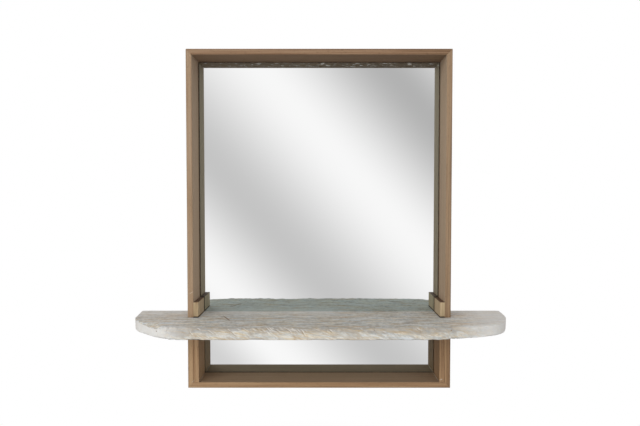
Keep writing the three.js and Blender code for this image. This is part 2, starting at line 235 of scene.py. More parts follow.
# Frame boards, stained pine: fine straight lines along each board, rubbed arrises
boards = {
    "thickness": 15 * mm,
    # dark, middle and light lines of the stain, and where each lies on the scale of the noise
    # painted light: the foot is lighter than the rails' stain, to make up for the shade the shelf throws
    # below it
    "foot": ("#7A5F45", "#9B7B5B", "#B09270"),  # warmer below the shelf, and on the bottom rail
    "stainPlaces": (0.26, 0.5, 0.74),
    "footTop": -0.34, "bodyBottom": -0.22, "footRoughness": 0.8,
    # axes along the grain and across the front face, what changes above the shelf, where the uprights' paler
    # and greyer stain is painted sheen, and how much pale grey is laid over the inner faces at the frame's
    # bottom and at its top, as painted sheen and light
    # painted sheen: the uprights' stain is paler and greyer than the rails' above the shelf
    "uprights": {"along": 2, "across": 0, "stainAndLight": ("#7E6850", "#987E63", "#A99178"), "roughness": 0.76,
                 "inside": (0.18, 0.44)},
    "rails": {"along": 0, "across": 2, "stainAndLight": ("#6B523B", "#86694F", "#9A7E64"), "roughness": 0.8,
              "inside": (0.30, 0.11)},
    # painted sheen and light: the pale grey laid over the inner faces, and the share of the thickness that
    # counts as inner face
    "inside": "#CBB8A0", "insideShare": 0.02,
    # painted light: the tone runs paler towards the left and darker towards the right, for light falling
    # from the left
    "paintedSideLight": (0.09, -0.04),  # the left stile is the paler one
    # millimetres along the board and across it, detail and roughness of each kind of mark
    "marks": {"lines": (260, 2.6, 2, 0.6), "bands": (700, 9, 1, 0.5), "pores": (9, 1.2, 0, 0.5)},
    "bandTone": 0.16, "poreShade": 0.72,
    # brightness across the thickness, from the inner arris at 0 to the outer one at 1
    "arrisShade": [(0.8, 1.0), (0.95, 0.74), (1.0, 1.0)],
    "knock": "#C9BBA9",
    # pale knocks on the front, and filler under the two support blocks: middle, turns and half sizes
    "knocks": [((-0.3396, -0.098, -0.1933), (0, -0.57, 0), (8.5, 10, 0.8)),
               ((-0.3367, -0.098, -0.4312), (0, -0.71, 0), (6.5, 10, 0.8)),
               ((0.3262, -0.098, -0.4262), (0, -0.35, 0), (4.0, 10, 1.7)),
               ((-0.3212, -0.055, -0.4338), (0, 0, 0), (1.8, 50, 1.5)),
               ((0.3212, -0.055, -0.4338), (0, 0, 0), (1.8, 50, 1.5))],
}
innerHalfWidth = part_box("right_stile")[1].x - boards["thickness"]
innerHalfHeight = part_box("top_rail")[1].z - boards["thickness"]


# The finish of one kind of board, the uprights or the rails
def stainedPine(name, kind):
    material, tree, spot = newMaterial(name)
    axes = add(tree, "ShaderNodeSeparateXYZ", {0: spot}).outputs
    marks = {}
    for name, (run, width, detail, roughness) in boards["marks"].items():
        size = [width * mm] * 3
        size[kind["along"]] = run * mm
        mapped = add(tree, "ShaderNodeMapping", {"Vector": spot, "Scale": size}, vector_type="TEXTURE")
        marks[name] = add(tree, "ShaderNodeTexNoise", {
            "Vector": mapped, "Scale": 1.0, "Detail": detail, "Roughness": roughness})
    bandTone = add(tree, "ShaderNodeMapRange", {
        "Value": marks["bands"], "To Min": -boards["bandTone"], "To Max": boards["bandTone"]})
    # Painted light from the left: paler on the left, darker on the right
    atLeft, atRight = boards["paintedSideLight"]
    paintedSideLightTone = add(tree, "ShaderNodeMapRange", {
        "Value": axes[0], "From Min": -innerHalfWidth, "From Max": innerHalfWidth,
        "To Min": atLeft, "To Max": atRight})
    tone = marks["lines"]
    for shift in (bandTone, paintedSideLightTone):
        tone = add(tree, "ShaderNodeMath", {0: tone, 1: shift}, operation="ADD")
    # Below the shelf a lighter stain stands in for light under the shelf's shade; above it the uprights'
    # greyer stain is painted sheen
    foot, above = (add(tree, "ShaderNodeValToRGB", {0: tone}, stops=list(zip(boards["stainPlaces"], stainAndLight)))
                   for stainAndLight in (boards["foot"], kind["stainAndLight"]))
    colour = layered(tree, foot, [(axes[2], boards["footTop"], boards["bodyBottom"], 1.0, above)])
    roughness = add(tree, "ShaderNodeMapRange", {
        "Value": axes[2], "From Min": boards["footTop"], "From Max": boards["bodyBottom"],
        "To Min": boards["footRoughness"], "To Max": kind["roughness"]})

    # share is 0 on the inner faces and 1 on the outer ones
    innerEdge = innerHalfWidth if kind["across"] == 0 else innerHalfHeight
    fromMiddle = add(tree, "ShaderNodeMath", {0: axes[kind["across"]]}, operation="ABSOLUTE")
    fromInside = add(tree, "ShaderNodeMath", {0: fromMiddle, 1: innerEdge}, operation="SUBTRACT")
    share = add(tree, "ShaderNodeMath", {0: fromInside, 1: boards["thickness"]}, operation="DIVIDE")
    # Painted sheen and light: the inner faces are laid over with pale grey, more at the top on the uprights
    # and at the bottom on the rails
    least, most = kind["inside"]
    paler = add(tree, "ShaderNodeMapRange", {
        "Value": axes[2], "From Min": -innerHalfHeight, "From Max": innerHalfHeight,
        "To Min": least, "To Max": most})
    within = add(tree, "ShaderNodeMath", {0: share, 1: 0.0, 2: boards["insideShare"]}, operation="COMPARE")
    colour = layered(tree, colour, [(within, 0.0, 1.0, paler, boards["inside"])])

    flecks = add(tree, "ShaderNodeMapRange", {
        "Value": marks["pores"], "From Min": 0.70, "From Max": 0.78,
        "To Min": 1.0, "To Max": boards["poreShade"]})
    edges = add(tree, "ShaderNodeValToRGB", {0: share}, stops=boards["arrisShade"])
    shade = add(tree, "ShaderNodeMath", {0: flecks, 1: edges}, operation="MULTIPLY")
    colour = add(tree, "ShaderNodeVectorMath", {0: colour, "Scale": shade}, operation="SCALE")
    colour = dabbed(tree, spot, colour, boards["knocks"], 0.8, boards["knock"])
    relief = add(tree, "ShaderNodeBump", {"Height": marks["lines"], "Strength": 0.25, "Distance": 0.25 * mm})
    surface = add(tree, "ShaderNodeBsdfPrincipled", {
        "Base Color": colour, "Roughness": roughness, "IOR": 1.45, "Normal": relief})
    add(tree, "ShaderNodeOutputMaterial", {"Surface": surface})
    return material


uprightPine = stainedPine("stainedPineUpright", boards["uprights"])
levelPine = stainedPine("stainedPineLevel", boards["rails"])
dress(["left_stile", "right_stile", "left_support_block", "right_support_block"], uprightPine)
dress(["top_rail", "bottom_rail"], levelPine)
print("boards stained")

# Cleats, sawn spruce: matt upright saw lines, with a stained top, and painted shade on the underside and
# rear end
cleats = {
    "light": "#BFAB8A", "dark": "#957F60", "lineWidth": 3.2 * mm, "lineRun": 166.7 * mm,
    # which way each stained or shaded face looks: axis, direction and colour; the dark underside and rear
    # end are painted shade
    "stainedAndShaded": [("Z", 1, "#5E4632"), ("Z", -1, "#2E2620"), ("Y", 1, "#2E2620")],
}

material, tree, spot = newMaterial("sawnSpruce")
mapped = add(tree, "ShaderNodeMapping", {
    "Vector": spot, "Scale": (cleats["lineWidth"], cleats["lineWidth"], cleats["lineRun"])},
    vector_type="TEXTURE")
lines = add(tree, "ShaderNodeTexNoise", {"Vector": mapped, "Scale": 1.0, "Detail": 2.0})
sawn = add(tree, "ShaderNodeValToRGB", {0: lines}, stops=[(0.3, cleats["dark"]), (0.68, cleats["light"])])
normal = add(tree, "ShaderNodeNewGeometry").outputs["Normal"]
facing = add(tree, "ShaderNodeSeparateXYZ", {0: normal}).outputs
painted = layered(tree, sawn, [
    (facing[axis], turn * 0.55, turn * 0.8, 1.0, colour) for axis, turn, colour in cleats["stainedAndShaded"]])
relief = add(tree, "ShaderNodeBump", {"Height": lines, "Strength": 0.3, "Distance": 0.3 * mm})
surface = add(tree, "ShaderNodeBsdfPrincipled", {
    "Base Color": painted, "Roughness": 0.62, "IOR": 1.46, "Normal": relief})
add(tree, "ShaderNodeOutputMaterial", {"Surface": surface})
dress(["left_cleat", "right_cleat"], material)

# Silvered float glass: a clean cool reflection with dust along the top, and a dull green ground edge
glass = {
    "edge": "#4A554C", "edgeRoughness": 0.45,
    "dust": "#D8D6D0", "dustFrom": 0.416, "dustTo": 0.423, "dustMost": 0.75,  # it thickens up to dustTo
    "fleckRun": 16 * mm, "fleckWidth": 2.4 * mm,
}

material, tree, spot = newMaterial("silveredFloatGlass")
mapped = add(tree, "ShaderNodeMapping", {
    "Vector": spot, "Scale": (glass["fleckRun"], glass["fleckWidth"], glass["fleckWidth"])},
    vector_type="TEXTURE")
flecks = add(tree, "ShaderNodeTexNoise", {"Vector": mapped, "Scale": 1.0, "Detail": 3.0, "Roughness": 0.6})
height = add(tree, "ShaderNodeSeparateXYZ", {0: spot}).outputs["Z"]
nearTop = add(tree, "ShaderNodeMapRange", {
    "Value": height, "From Min": glass["dustFrom"], "From Max": glass["dustTo"]})
thick = add(tree, "ShaderNodeMapRange", {
    "Value": flecks, "From Min": 0.55, "From Max": 0.66, "To Max": glass["dustMost"]})
dusty = add(tree, "ShaderNodeMath", {0: thick, 1: nearTop}, operation="MULTIPLY")
clean = add(tree, "ShaderNodeMath", {0: 1.0, 1: dusty}, operation="SUBTRACT")
tint = add(tree, "ShaderNodeMix", {0: dusty, 6: (*room["glassTint"], 1), 7: glass["dust"]}, data_type="RGBA")
silver = add(tree, "ShaderNodeBsdfPrincipled", {
    "Base Color": tint.outputs[2], "Roughness": 0.0, "Metallic": clean})
groundEdge = add(tree, "ShaderNodeBsdfPrincipled", {
    "Base Color": glass["edge"], "Roughness": glass["edgeRoughness"], "IOR": 1.52})
normal = add(tree, "ShaderNodeNewGeometry").outputs["True Normal"]
facing = add(tree, "ShaderNodeSeparateXYZ", {0: normal}).outputs
front = add(tree, "ShaderNodeMath", {0: facing["Y"], 1: -0.9}, operation="LESS_THAN")
surface = add(tree, "ShaderNodeMixShader", {0: front, 1: groundEdge, 2: silver})
add(tree, "ShaderNodeOutputMaterial", {"Surface": surface})
dress(["mirror_pane"], material)

# Back panel, oiled hardboard: felted brown with faint roller lines down it and loose pale fibres
panel = {
    "dark": "#54463A", "brown": "#6B5A49", "light": "#7D6B57", "fibre": "#9A876F",
    # width, height and detail of each kind of mark in millimetres, as coarse as they need to show
    "marks": {"felt": (5, 6, 3), "rollerLines": (16, 420, 1), "cloud": (170, 230, 2), "fibres": (1.6, 9, 0)},
    # how much each kind has in the tone
    "shares": {"felt": 0.5, "rollerLines": 0.25, "cloud": 0.25},
}

material, tree, spot = newMaterial("oiledHardboard")
marks = {}
for kind, (width, height, detail) in panel["marks"].items():
    mapped = add(tree, "ShaderNodeMapping", {
        "Vector": spot, "Scale": (width * mm, width * mm, height * mm)}, vector_type="TEXTURE")
    marks[kind] = add(tree, "ShaderNodeTexNoise", {"Vector": mapped, "Scale": 1.0, "Detail": detail})
tone = 0.0
for kind, share in panel["shares"].items():
    tone = add(tree, "ShaderNodeMath", {0: marks[kind], 1: share, 2: tone}, operation="MULTIPLY_ADD")
brown = add(tree, "ShaderNodeValToRGB", {0: tone}, stops=[
    (0.38, panel["dark"]), (0.5, panel["brown"]), (0.62, panel["light"])])
brown = layered(tree, brown, [(marks["fibres"], 0.72, 0.8, 0.7, panel["fibre"])])
relief = add(tree, "ShaderNodeBump", {"Height": marks["felt"], "Strength": 0.4, "Distance": 0.3 * mm})
surface = add(tree, "ShaderNodeBsdfPrincipled", {
    "Base Color": brown, "Roughness": 0.7, "IOR": 1.45, "Normal": relief})
add(tree, "ShaderNodeOutputMaterial", {"Surface": surface})
dress(["backing_panel"], material)

# Joining biscuits, pressed beech with short brown ray flecks, and bumpers, black rubber with a greyish
# bloom: grain is how many marks go to a metre, as coarse as they need to show
speckled = {
    "pressedBeech": {"pieces": "_biscuit", "grain": 700, "detail": 1, "roughness": 0.6,
                     "stops": [(0.38, "#A9835A"), (0.56, "#CBA97E")]},
    "mouldedRubber": {"pieces": "_bumper", "grain": 260, "detail": 3, "roughness": 0.75,
                      "stops": [(0.35, "#201F1E"), (0.7, "#3A3937")]},
}

for name, kind in speckled.items():
    material, tree, spot = newMaterial(name)
    marks = add(tree, "ShaderNodeTexNoise", {
        "Vector": spot, "Scale": kind["grain"], "Detail": kind["detail"]})
    colour = add(tree, "ShaderNodeValToRGB", {0: marks}, stops=kind["stops"])
    surface = add(tree, "ShaderNodeBsdfPrincipled", {"Base Color": colour, "Roughness": kind["roughness"]})
    add(tree, "ShaderNodeOutputMaterial", {"Surface": surface})
    dress([piece for piece in nodes if piece.endswith(kind["pieces"])], material)

# Screws and hangers, zinc plated steel: pale blue-grey with a faint crystal mottle
plating = {"dark": "#9FA3A5", "light": "#C3C6C6", "crystals": 450, "dull": 160, "roughness": (0.28, 0.5)}

zincPlate, tree, spot = newMaterial("zincPlatedSteel")
crystals = add(tree, "ShaderNodeTexVoronoi", {"Vector": spot, "Scale": plating["crystals"]})
dull = add(tree, "ShaderNodeTexNoise", {"Vector": spot, "Scale": plating["dull"], "Detail": 2.0})
zinc = add(tree, "ShaderNodeValToRGB", {0: crystals.outputs["Color"]}, stops=[
    (0.1, plating["dark"]), (0.9, plating["light"])])
least, most = plating["roughness"]
roughness = add(tree, "ShaderNodeMapRange", {"Value": dull, "To Min": least, "To Max": most})
surface = add(tree, "ShaderNodeBsdfPrincipled", {
    "Base Color": zinc, "Metallic": 1.0, "Roughness": roughness})
add(tree, "ShaderNodeOutputMaterial", {"Surface": surface})
dress([name for name in nodes if "screw" in name or "hanger" in name], zincPlate)
print("glass, panel and small parts finished")


# A node tree whose first input is the piece's own geometry, and the others are its sizes
def newGrower(name, sizes):
    tree = bpy.data.node_groups.new(name, "GeometryNodeTree")
    tree.interface.new_socket("Geometry", in_out="INPUT", socket_type="NodeSocketGeometry")
    tree.interface.new_socket("Geometry", in_out="OUTPUT", socket_type="NodeSocketGeometry")
    for size in sizes:
        tree.interface.new_socket(size, in_out="INPUT", socket_type="NodeSocketFloat")
    return tree, add(tree, "NodeGroupInput").outputs


# Ends the tree with plain faces in one finish
def endGrower(tree, geometry, material):
    whole = add(tree, "GeometryNodeRealizeInstances", {"Geometry": geometry})
    finished = add(tree, "GeometryNodeSetMaterial", {"Geometry": whole, "Material": material})
    add(tree, "NodeGroupOutput", {"Geometry": finished})


# Runs the tree on a piece, and leaves the result as its plain mesh
def grow(piece, tree, sizes):
    modifier = piece.modifiers.new(tree.name, "NODES")
    modifier.node_group = tree
    for item in tree.interface.items_tree:
        if item.in_out == "INPUT" and item.name in sizes:
            modifier[item.identifier] = sizes[item.name]
    grown = bpy.data.meshes.new_from_object(piece.evaluated_get(bpy.context.evaluated_depsgraph_get()))
    piece.modifiers.remove(modifier)
    piece.data = grown
    grown.shade_smooth()
    grown.set_sharp_from_angle(angle=math.radians(35))


# Screws: turned heads with a cross recess, each left at its own turn
screws = {
    "sides": 32, "seed": 4,
    # radii first, then depths below the crown, then the cross recess
    "panel": {"Shank": 1.75 * mm, "Under Head": 1.75 * mm, "Rim": 3.6 * mm, "Crown": 3.5 * mm,
              "Dome": 0.15 * mm, "Head": 2.0 * mm, "Length": 21 * mm,
              "Cross Length": 3.8 * mm, "Cross Width": 0.75 * mm, "Cross Depth": 1.3 * mm},
    "strap": {"Shank": 1.75 * mm, "Under Head": 3.1 * mm, "Rim": 3.1 * mm, "Crown": 1.9 * mm,
              "Dome": 0.8 * mm, "Head": 1.6 * mm, "Length": 26.6 * mm,
              "Cross Length": 3.2 * mm, "Cross Width": 0.7 * mm, "Cross Depth": 1.1 * mm},
}

screwTree, size = newGrower("crossHeadScrew", screws["panel"])

# A plain bar with a ring of points for each stage of the screw, which takes that stage's radius and depth
stages = [("Shank", "Length"), ("Shank", "Head"), ("Under Head", "Head"), ("Rim", "Dome"), ("Crown", None)]
bar = add(screwTree, "GeometryNodeMeshCylinder", {
    "Vertices": screws["sides"], "Side Segments": len(stages) - 1, "Radius": 1.0, "Depth": len(stages) - 1})
place = add(screwTree, "GeometryNodeInputPosition")
height = add(screwTree, "ShaderNodeSeparateXYZ", {0: place}).outputs["Z"]
stage = add(screwTree, "ShaderNodeMath", {0: height, 1: len(stages) / 2}, operation="ADD")
turned = []
for names in zip(*stages):
    chosen = add(screwTree, "GeometryNodeIndexSwitch", data_type="FLOAT")
    for _ in stages[2:]:  # a new switch has two items
        chosen.index_switch_items.new()
    values = {index + 1: size[name] if name else 0.0 for index, name in enumerate(names)}
    feed(screwTree, chosen, {"Index": stage, **values})
    turned.append(chosen)
radius, depth = turned
spread = add(screwTree, "ShaderNodeVectorMath", {
    0: place, 1: add(screwTree, "ShaderNodeCombineXYZ", {"X": radius, "Y": radius})}, operation="MULTIPLY")
lowered = add(screwTree, "ShaderNodeVectorMath", {
    0: spread, 1: add(screwTree, "ShaderNodeCombineXYZ", {"Z": depth})}, operation="SUBTRACT")
blank = add(screwTree, "GeometryNodeSetPosition", {"Geometry": bar, "Position": lowered})
whole = add(screwTree, "GeometryNodeMergeByDistance", {"Geometry": blank, "Distance": 0.001 * mm})

# Both arms of the cross are centred on the crown, and one is shallower so that their floors don't coincide
cut = add(screwTree, "GeometryNodeMeshBoolean", {"Mesh 1": whole}, operation="DIFFERENCE", solver="MANIFOLD")
for across, over, deep in (("Cross Length", "Cross Width", 2.0), ("Cross Width", "Cross Length", 1.8)):
    down = add(screwTree, "ShaderNodeMath", {0: size["Cross Depth"], 1: deep}, operation="MULTIPLY")
    arm = add(screwTree, "GeometryNodeMeshCube", {
        "Size": add(screwTree, "ShaderNodeCombineXYZ", {"X": size[across], "Y": size[over], "Z": down})})
    feed(screwTree, cut, {"Mesh 2": arm})
upright = add(screwTree, "GeometryNodeTransform", {"Geometry": cut, "Rotation": (-math.pi / 2, 0, 0)})
turn = add(screwTree, "FunctionNodeRandomValue", {
    0: (0, 0, 0), 1: (0, math.pi, 0), "Seed": screws["seed"]}, data_type="FLOAT_VECTOR")
placed = add(screwTree, "GeometryNodeInstanceOnPoints", {
    "Points": size["Geometry"], "Instance": upright, "Rotation": turn})
endGrower(screwTree, placed, zincPlate)

for kind in ("panel", "strap"):
    names = sorted(name for name in nodes if f"{kind}_screw" in name)
    crowns = []
    for name in names:
        low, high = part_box(name)
        crowns.append(((low.x + high.x) / 2, high.y, (low.z + high.z) / 2))
    piece = meshObject(f"{kind}Screws", crowns, [])
    grow(piece, screwTree, screws[kind])
    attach(piece, "frame")
    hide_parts(*names)
print("screws set")

# Hanger rings: round zinc plated wire bent to a D
rings = {
    "Wire": 1.2 * mm, "halfWidth": 9 * mm, "height": 19 * mm, "bend": 2.4 * mm,
    "steps": 40, "sides": 16,
}

ringTree, size = newGrower("bentWire", ["Wire"])
line = add(ringTree, "GeometryNodeMeshToCurve", {"Mesh": size["Geometry"]})
profile = add(ringTree, "GeometryNodeCurvePrimitiveCircle", {
    "Resolution": rings["sides"], "Radius": size["Wire"]})
wire = add(ringTree, "GeometryNodeCurveToMesh", {"Curve": line, "Profile Curve": profile})
endGrower(ringTree, wire, zincPlate)


# Points of an arc, from one angle to another
def arc(centre, radius, start, end, steps):
    angles = np.radians(np.linspace(start, end, steps))
    return [(centre[0] + radius * math.cos(a), centre[1] + radius * math.sin(a)) for a in angles]


for side in ("left", "right"):
    low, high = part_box(f"{side}_hanger_ring")
    middle = Vector(((low.x + high.x) / 2, (low.y + high.y) / 2, high.z - rings["Wire"]))
    half, bend = rings["halfWidth"], rings["bend"]
    path = (arc((half - bend, -bend), bend, 90, 0, rings["steps"] // 4)
            + arc((0, half - rings["height"]), half, 0, -180, rings["steps"])
            + arc((bend - half, -bend), bend, 180, 90, rings["steps"] // 4))
    points = [middle + Vector((x, 0, z)) for x, z in path]
    links = [(index, (index + 1) % len(points)) for index in range(len(points))]
    piece = meshObject(f"{side}RingWire", points, [], links)
    grow(piece, ringTree, rings)
    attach(piece, f"{side}_ring")
    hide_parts(f"{side}_hanger_ring")
print("hanger rings bent")

# Shelf: a plank with its front and ends hewn, limed and brushed. Its measures here are in millimetres.
shelf = {
    # corners of the plan, [in from that end, back from the front], and wear of the top arris,
    # [x, how far the top stops short, how far the arris has dropped]
    "rightCorner": [(2.5, 190), (7, 148), (15, 118), (31, 82), (59, 53), (103, 31), (180, 11), (214, 0)],
    "leftCorner": [(158, 0), (132, 4), (103, 20), (70, 50), (47, 74), (27, 97), (14, 122), (8.5, 138)],
    "arrisWear": [
        (-497, 0.6, 0.8), (-485, 1.2, 1.5), (-458, 3, 3), (-425, 13, 4), (-398, 4, 3), (-372, 14, 8),
        (-350, 19, 12), (-325, 15, 11), (-289, 8, 3), (-240, 3, 2), (-194, 3, 2), (-97, 18, 5), (-47, 5, 3),
        (25, 4, 2), (98, 4, 3), (194, 8, 5), (265, 12, 8), (315, 10, 7), (400, 5, 3), (445, 2.5, 2),
        (504, 0.6, 0.8)],
    # torn edge between these ranges of x: how far it wavers, over what run, with which row and seed
    "tornFrom": (-480, -400), "tornTo": (380, 460),
    "tears": [(8, 15, 3, 5), (5, 6, 0, 6)],
    "notches": {"deep": (3.0, 30, 7), "fine": (2.0, 9, 8), "back": 1.2, "raised": 0.8},
    "breaks": {"far": 7, "broad": (19, 9), "fine": (7, 10)},
    "step": 1.6, "spread": 18,  # between the columns of the hewn edge, and how many each side share a turn
    "squareOver": 60,  # how far from the back edge the columns come square to the board's ends
    "strip": 34,  # how far the hewn edge's mesh reaches over the top and the underside
    "profileRows": (14, 8, 16, 5, 5), "crowding": 1.6,  # rows of the mesh between the profile's bends
    "arrisIn": 0.4, "footIn": 1.0, "undercut": 4, "undercutDepth": 2,
    "slotPlay": 1, "tongueGap": 0.8,
    # adze blows: one every so far, begun and ended so far past the ends, and what is drawn, in this order.
    # Small chips left of the middle lean more.
    "blows": [
        {"every": 17, "past": 10, "drawn": {
            "shift": (-9, 9), "down": (4, 26), "halfLength": (22, 46), "halfHeight": (11, 20),
            "tilt": (-0.75, 0.35), "depth": (0.9, 2.6)}},
        {"every": 12, "past": 0, "drawn": {
            "shift": (-6, 6), "down": (-3, 4), "halfLength": (7, 22), "halfHeight": (3, 7.5),
            "tilt": (-0.9, 0.2), "depth": (0.7, 2.0)}},
        {"every": 9, "past": 0, "leftTilt": (-1.1, -0.5), "drawn": {
            "tilt": (-0.5, 0.4), "shift": (-5, 5), "down": (0, 24), "halfLength": (5, 13),
            "halfHeight": (1.6, 3.4), "depth": (0.6, 1.7)}},
    ],
    "splinters": {
        "count": 64, "middle": -100, "spread": 45, "strayed": (-330, 330), "down": (0, 15),
        "tilt": (-0.95, -0.55), "halfLength": (5, 17), "halfHeight": (1.0, 1.5), "strength": (0.45, 1)},
    "fibreDepth": 0.35, "grooveDepth": 0.5, "splinterRise": 0.6,
    "calmRight": (395, 470), "calmLeft": (-430, -480),  # both ends are worn smooth
    "topLeft": (-420, -370), "topRight": (400, 450),  # there the worn arris keeps the colour of the top
    "slopeFrom": (-455, -380), "slopeTo": (330, 420), "slopeDown": (3, 7),
    "weld": 0.005, "hardAngle": 34,
    "seed": 11,
}


# Smooth path through points, in equal spans, with its end points doubled
def pathThrough(points, perSpan=40):
    padded = [points[0], *points, points[-1]]
    path = []
    for index in range(1, len(padded) - 2):
        before, start, end, after = (np.array(point, float) for point in padded[index - 1:index + 3])
        for t in np.arange(perSpan) / perSpan:
            path.append(0.5 * (2 * start + (end - before) * t
                               + (2 * before - 5 * start + 4 * end - after) * t ** 2
                               + (3 * (start - end) + after - before) * t ** 3))
    return path


# The plan's outline from the back right to the back left, and how far along it each point lies
def hewnOutline(low, high):
    left, right, front, back = low.x / mm, high.x / mm, low.y / mm, high.y / mm
    rightPoints = [(right, back)]
    rightPoints += [(right - inward, front + depth) for inward, depth in shelf["rightCorner"]]
    leftPoints = [(left + inward, front + depth) for inward, depth in shelf["leftCorner"]]
    rough = np.array([*pathThrough(rightPoints), *pathThrough(leftPoints), (left, back)])
    reach = np.concatenate([[0], np.cumsum(np.linalg.norm(np.diff(rough, axis=0), axis=1))])
    places = np.linspace(0, reach[-1], round(reach[-1] / shelf["step"]) + 1)
    return places, np.stack([np.interp(places, reach, rough[:, axis]) for axis in (0, 1)], axis=1)


# Rises smoothly from 0 at the start to 1 at the end
def ease(value, start, end):
    share = np.clip((value - start) / (end - start), 0, 1)
    return share * share * (3 - 2 * share)


# Smooth noise of 0 to 1 over cells of one unit
def cellNoise(x, y, seed):
    column, row = np.floor(x).astype(np.int64), np.floor(y).astype(np.int64)
    u, v = ease(x - column, 0, 1), ease(y - row, 0, 1)

    def corner(right, up):
        key = (column + right) * 374761393 + (row + up) * 668265263 + seed * 97531
        key = (key ^ (key >> 13)) * 1274126177
        return ((key ^ (key >> 16)) & 0xFFFF) / 0xFFFF

    low = corner(0, 0) * (1 - u) + corner(1, 0) * u
    high = corner(0, 1) * (1 - u) + corner(1, 1) * u
    return low * (1 - v) + high * v


# Which way is into the board at each column, turning slowly so that no columns cross further in
def inwardTurns(along, outline):
    tangent = np.gradient(outline, axis=0)
    inward = np.stack([tangent[:, 1], -tangent[:, 0]], axis=1)
    inward /= np.linalg.norm(inward, axis=1, keepdims=True)
    spread = shelf["spread"]
    padded = np.pad(inward, ((spread, spread), (0, 0)), mode="edge")
    inward = sum(padded[start:start + len(along)] for start in range(2 * spread + 1)) / (2 * spread + 1)
    for end, side in ((along, -1), (along[-1] - along, 1)):
        share = ease(end, 0, shelf["squareOver"])[:, None]
        inward = inward * share + np.array([side, 0.0]) * (1 - share)
    return inward / np.linalg.norm(inward, axis=1, keepdims=True)


# How far the top stops short, how far its arris has dropped, and how far the underside stops short
def wornArris(along, x):
    wear = np.array(shelf["arrisWear"], float)
    inset = np.interp(x, wear[:, 0], wear[:, 1])
    drop = np.interp(x, wear[:, 0], wear[:, 2])
    still = along * 0
    torn = ease(x, *shelf["tornFrom"]) * (1 - ease(x, *shelf["tornTo"]))
    tears = sum(far * (cellNoise(along / run, still + row, seed) - 0.5)
                for far, run, row, seed in shelf["tears"])
    inset = np.clip(inset + tears * torn, 0.6, None)
    notches, breaks = shelf["notches"], shelf["breaks"]
    far, run, seed = notches["deep"]
    notched = far * ease(cellNoise(along / run, still, seed), 0.5, 0.54)
    far, run, seed = notches["fine"]
    notched = notched + far * cellNoise(along / run, still, seed)
    drop = drop + (notched - notches["raised"]) * torn
    inset = inset + notches["back"] * notched * torn
    broad, fine = (cellNoise(along / run, still, seed) for run, seed in (breaks["broad"], breaks["fine"]))
    return inset, drop, shelf["undercutDepth"] + breaks["far"] * (ease(broad, 0.5, 0.6) * fine) * torn


# One profile for each column: inwards from the outline, down from the top, and how far from the arris
def edgeProfiles(inset, drop, underIn, thickness):
    strip, still = shelf["strip"], inset * 0
    bends = [(strip, 0), (inset, 0), (shelf["arrisIn"], drop),
             (shelf["footIn"], thickness - shelf["undercut"]), (underIn, thickness), (strip, thickness)]
    inRows, downRows = [still + strip], [still]
    for index, rows in enumerate(shelf["profileRows"]):
        (startIn, startDown), (endIn, endDown) = bends[index], bends[index + 1]
        for row in range(1, rows + 1):
            share = 1 - (1 - row / rows) ** shelf["crowding"] if index == 0 else row / rows
            inRows.append(still + startIn + (endIn - startIn) * share)
            downRows.append(still + startDown + (endDown - startDown) * share)
    insets, downs = np.stack(inRows, axis=1), np.stack(downRows, axis=1)
    for _ in range(2):  # takes the sharpness off the arrises
        for rows in (insets, downs):
            rows[:, 1:-1] = 0.25 * rows[:, :-2] + 0.5 * rows[:, 1:-1] + 0.25 * rows[:, 2:]
    steps = np.hypot(np.diff(insets, axis=1), np.diff(downs, axis=1))
    reach = np.concatenate([np.zeros((len(steps), 1)), np.cumsum(steps, axis=1)], axis=1)
    arrisRow = shelf["profileRows"][0]
    return insets, downs, reach - reach[:, arrisRow:arrisRow + 1]


# Distances from a mark's middle, turned to run along it and across it
def turned(shift, fall, tilt):
    return shift * math.cos(tilt) + fall * math.sin(tilt), fall * math.cos(tilt) - shift * math.sin(tilt)


# Every blow of the adze leaves a shallow oval hollow: how deep the deepest one at a place is, and the next
def adzeHollows(place, reach, length):
    draw = np.random.default_rng(shelf["seed"])
    first, second = np.zeros_like(place), np.zeros_like(place)
    for blow in shelf["blows"]:
        for along in np.arange(-blow["past"], length + blow["past"], blow["every"]):
            ranges = dict(blow["drawn"])
            if along > 0.5 * length:
                ranges["tilt"] = blow.get("leftTilt", ranges["tilt"])
            drawn = {name: draw.uniform(*ends) for name, ends in ranges.items()}
            shift, fall = place - (along + drawn["shift"]), reach - drawn["down"]
            lengthwise, across = turned(shift, fall, drawn["tilt"])
            u, v = lengthwise / drawn["halfLength"], across / drawn["halfHeight"]
            hollow = drawn["depth"] * np.clip(1 - u * u - v * v, 0, None)
            second = np.where(hollow > first, first, np.maximum(second, hollow))
            first = np.maximum(first, hollow)
    return first, second


# Splinters with a groove each, under the arris and mostly left of the middle, leaning down to the right;
# each groove is cut in and painted darker as its shadow
def splinterMarks(place, reach, along, x):
    draw = np.random.default_rng(shelf["seed"] + 1)
    marks = shelf["splinters"]
    splinter, shadedGroove = np.zeros_like(place), np.zeros_like(place)
    for index in range(marks["count"]):
        near = draw.normal(marks["middle"], marks["spread"])
        centre = np.interp(-near if index % 3 else draw.uniform(*marks["strayed"]), -x, along)
        fall = reach - draw.uniform(*marks["down"])
        lengthwise, across = turned(place - centre, fall, draw.uniform(*marks["tilt"]))
        u = lengthwise / draw.uniform(*marks["halfLength"])
        v = across / draw.uniform(*marks["halfHeight"])
        whole = np.clip(1 - u * u, 0, None) * draw.uniform(*marks["strength"])
        splinter = np.maximum(splinter, whole * np.exp(-v * v))
        shadedGroove = np.maximum(shadedGroove, whole * np.exp(-(v - 2) ** 2))
    return splinter, shadedGroove


